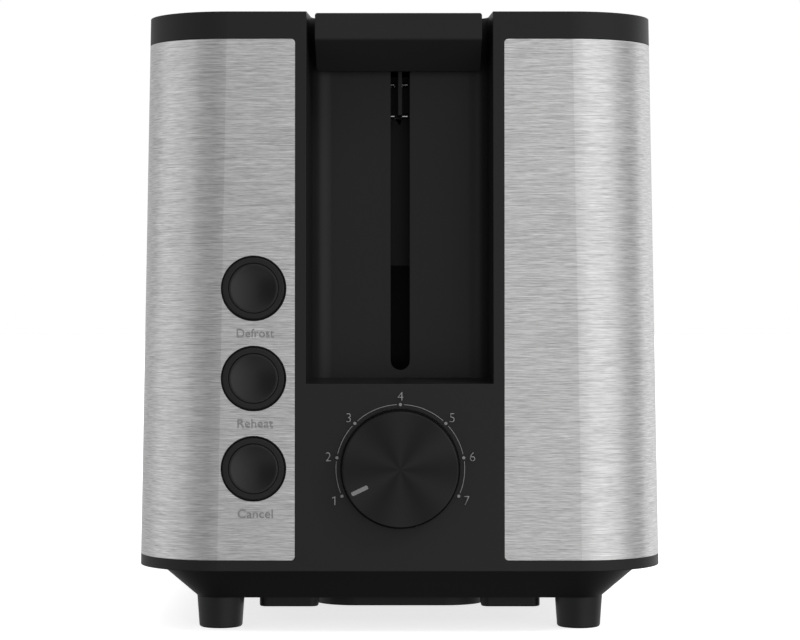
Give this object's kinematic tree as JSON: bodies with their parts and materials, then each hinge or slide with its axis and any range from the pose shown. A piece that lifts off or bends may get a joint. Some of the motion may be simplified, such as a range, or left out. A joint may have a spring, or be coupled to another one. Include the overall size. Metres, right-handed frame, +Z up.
{
  "type": "pop up toaster",
  "caption": "Two-slice pop-up toaster, black moulded body with wrapped brushed-steel side covers, end lever in a deep recess, browning knob, push buttons and pull-out crumb tray.",
  "frame": {"origin": "middle of the object's footprint on the surface it stands on, with the browning knob counted in its length", "axes": "+Z up; the control end with the lever, knob and buttons faces -Y; +X is to the right of someone facing that end"},
  "size_m": [0.1704, 0.2824, 0.2],
  "materials": {
    "black_plastic": "fine satin moulded black",
    "base_plastic": "fine satin moulded black",
    "lever_plastic": "fine matt moulded black",
    "deck_plastic": "fine satin moulded black",
    "brushed_steel": "brushed along the horizontal",
    "control_plastic": "satin black",
    "knob_metal": "black, circular brushed face",
    "foot_rubber": "semi-matt black",
    "zinc_screw": "zinc plated",
    "black_sheet": "heat-proof black coating, matt",
    "galvanised_sheet": "galvanised, dull",
    "aluminised_sheet": "aluminised, semi bright",
    "bright_steel": "bright drawn",
    "wire_chrome": "plated wire",
    "mica": "pressed mica, pearly",
    "resistance_ribbon": "oxidised ribbon",
    "coil_copper": "enamelled copper wire",
    "circuit_board": "green solder mask",
    "component_plastic": "black moulding",
    "gland_rubber": "matt black",
    "lead_insulation": "woven glass sleeve"
  },
  "bodies": {
    "housing": {"front_housing": "black_plastic", "rear_housing": "black_plastic", "base_pan": "base_plastic", "top_deck": "deck_plastic", "left_side_cover": "brushed_steel", "right_side_cover": "brushed_steel", "foot_front_left": "foot_rubber", "foot_front_right": "foot_rubber", "foot_rear_left": "foot_rubber", "foot_rear_right": "foot_rubber", "base_screws": "zinc_screw", "board_screws": "zinc_screw", "front_bulkhead": "black_sheet", "rear_bulkhead": "galvanised_sheet", "left_reflector": "aluminised_sheet", "right_reflector": "aluminised_sheet", "guide_rod": "bright_steel", "magnet_core": "bright_steel", "left_outer_heater_board": "mica", "left_inner_heater_board": "mica", "right_outer_heater_board": "mica", "right_inner_heater_board": "mica", "left_outer_heater_winding": "resistance_ribbon", "left_inner_heater_winding": "resistance_ribbon", "right_outer_heater_winding": "resistance_ribbon", "right_inner_heater_winding": "resistance_ribbon", "magnet_coil": "coil_copper", "control_board": "circuit_board", "potentiometer": "component_plastic", "tact_switches": "component_plastic", "power_switch": "component_plastic", "terminal_block": "component_plastic", "cord_gland": "gland_rubber", "internal_leads": "lead_insulation"},
    "carriage": {"lever_handle": "lever_plastic", "lever_clip": "bright_steel", "carriage_bracket": "black_sheet", "keeper_plate": "bright_steel", "carriage_spring": "bright_steel", "left_bread_lifter": "galvanised_sheet", "right_bread_lifter": "galvanised_sheet"},
    "browning_control": {"browning_knob": "knob_metal", "knob_shaft": "bright_steel"},
    "defrost_key": {"defrost_button": "control_plastic"},
    "reheat_key": {"reheat_button": "control_plastic"},
    "cancel_key": {"cancel_button": "control_plastic"},
    "tray": {"crumb_tray": "galvanised_sheet", "crumb_tray_handle": "base_plastic"},
    "left_outer_guide": {"left_outer_bread_guide": "wire_chrome"},
    "left_inner_guide": {"left_inner_bread_guide": "wire_chrome"},
    "right_outer_guide": {"right_outer_bread_guide": "wire_chrome"},
    "right_inner_guide": {"right_inner_bread_guide": "wire_chrome"}
  },
  "joints": [
    {"name": "carriage_slide", "type": "slide", "parent": "housing", "child": "carriage", "axis": [0, 0, -1], "range_m": [0, 0.08], "stiffness_N_per_m": 60, "springref_m": -0.06, "deforming": ["carriage_spring"]},
    {"name": "browning_turn", "type": "hinge", "parent": "housing", "child": "browning_control", "pos_m": [0.0002, -0.1367, 0.0537], "axis": [0, 1, 0], "range_deg": [0, 230]},
    {"name": "crumb_tray_slide", "type": "slide", "parent": "housing", "child": "tray", "axis": [0, 1, 0], "range_m": [0, 0.235]},
    {"name": "defrost_press", "type": "slide", "parent": "housing", "child": "defrost_key", "axis": [0, 1, 0], "range_m": [0, 0.0015], "stiffness_N_per_m": 800, "springref_m": -0.001},
    {"name": "reheat_press", "type": "slide", "parent": "housing", "child": "reheat_key", "axis": [0, 1, 0], "range_m": [0, 0.0015], "stiffness_N_per_m": 800, "springref_m": -0.001},
    {"name": "cancel_press", "type": "slide", "parent": "housing", "child": "cancel_key", "axis": [0, 1, 0], "range_m": [0, 0.0015], "stiffness_N_per_m": 800, "springref_m": -0.001},
    {"name": "left_outer_guide_tilt", "type": "hinge", "parent": "housing", "child": "left_outer_guide", "pos_m": [-0.0435, 0.005, 0.038], "axis": [0, 1, 0], "range_deg": [0, 2.6]},
    {"name": "left_inner_guide_tilt", "type": "hinge", "parent": "housing", "child": "left_inner_guide", "pos_m": [-0.0145, 0.005, 0.038], "axis": [0, -1, 0], "range_deg": [0, 2.6]},
    {"name": "right_outer_guide_tilt", "type": "hinge", "parent": "housing", "child": "right_outer_guide", "pos_m": [0.0435, 0.005, 0.038], "axis": [0, -1, 0], "range_deg": [0, 2.6]},
    {"name": "right_inner_guide_tilt", "type": "hinge", "parent": "housing", "child": "right_inner_guide", "pos_m": [0.0145, 0.005, 0.038], "axis": [0, 1, 0], "range_deg": [0, 2.6]}
  ],
  "couplings": [
    {"joint": "left_outer_guide_tilt", "follows": "carriage_slide", "rad_per_m": 0.545},
    {"joint": "left_inner_guide_tilt", "follows": "carriage_slide", "rad_per_m": 0.545},
    {"joint": "right_outer_guide_tilt", "follows": "carriage_slide", "rad_per_m": 0.545},
    {"joint": "right_inner_guide_tilt", "follows": "carriage_slide", "rad_per_m": 0.545}
  ]
}
